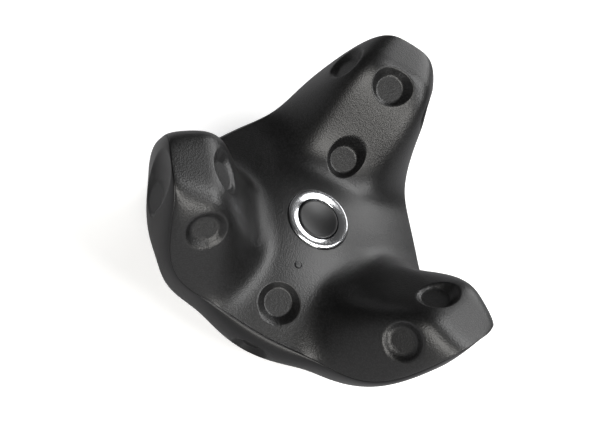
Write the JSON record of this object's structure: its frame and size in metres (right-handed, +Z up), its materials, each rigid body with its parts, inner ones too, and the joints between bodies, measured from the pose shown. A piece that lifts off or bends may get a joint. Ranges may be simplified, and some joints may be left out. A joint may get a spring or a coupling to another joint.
{
  "type": "virtual reality motion tracker",
  "caption": "Three-armed handheld-sized motion tracker with dimpled sensor windows, a top power button, a side cable socket and a threaded, pad-faced base.",
  "frame": {"origin": "centre of the tripod thread's mouth, in the plane the base pad rests on", "axes": "+Z up out of the button, +Y towards the first arm, +X across it; the other two arms are 120 degrees either side"},
  "size_m": [0.0788, 0.0713, 0.0441],
  "materials": {
    "shell_plastic": "fine moulded texture, near black",
    "inner_plastic": "plain moulded, dark",
    "pad_rubber": "matt",
    "brass_insert": "turned",
    "gold_contacts": "plated, bright",
    "screw_steel": "dark zinc",
    "battery_foil": "matt laminate foil",
    "wire_insulation": "smooth",
    "connector_plastic": "plain moulded, off white",
    "circuit_board": "solder resist",
    "tinned_steel": "pressed sheet",
    "chip_resin": "moulded resin",
    "plunger_plastic": "smooth",
    "ring_chrome": "bright plated",
    "clear_plastic": "clear moulded",
    "led_resin": "translucent resin",
    "flex_circuit": "polyimide film",
    "sensor_resin": "dark infrared-passing resin"
  },
  "bodies": {
    "housing": {"top_shell": "shell_plastic", "bottom_shell": "shell_plastic", "base_cover": "shell_plastic", "grip_pad": "pad_rubber", "thread_insert": "brass_insert", "contact_block": "inner_plastic", "contact_pins": "gold_contacts", "base_screws": "screw_steel", "shell_screws": "screw_steel", "inner_frame": "inner_plastic", "frame_screws": "screw_steel", "battery": "battery_foil", "battery_pad": "pad_rubber", "battery_wires": "wire_insulation", "battery_connector": "connector_plastic", "main_board": "circuit_board", "shield_can": "tinned_steel", "board_chips": "chip_resin", "chip_antenna": "connector_plastic", "switch_body": "inner_plastic", "button_ring": "ring_chrome", "light_pipe": "clear_plastic", "status_led": "led_resin", "usb_board": "circuit_board", "usb_socket": "tinned_steel", "usb_tongue": "inner_plastic", "sensor_carrier_a": "inner_plastic", "sensor_carrier_b": "inner_plastic", "sensor_carrier_c": "inner_plastic", "sensor_flex_a": "flex_circuit", "sensor_flex_b": "flex_circuit", "sensor_flex_c": "flex_circuit", "sensors_a": "sensor_resin", "sensors_b": "sensor_resin", "sensors_c": "sensor_resin", "sensors_centre": "sensor_resin"},
    "button": {"power_button": "shell_plastic"},
    "plunger": {"switch_plunger": "plunger_plastic"}
  },
  "joints": [
    {"name": "button_press", "type": "slide", "parent": "housing", "child": "button", "axis": [0, 0, -1], "range_m": [0, 0.0004], "stiffness_N_per_m": 4000},
    {"name": "plunger_press", "type": "slide", "parent": "housing", "child": "plunger", "axis": [0, 0, -1], "range_m": [0, 0.0004], "stiffness_N_per_m": 0.02, "springref_m": -0.006}
  ],
  "couplings": [
    {"joint": "plunger_press", "follows": "button_press", "ratio": 1}
  ]
}
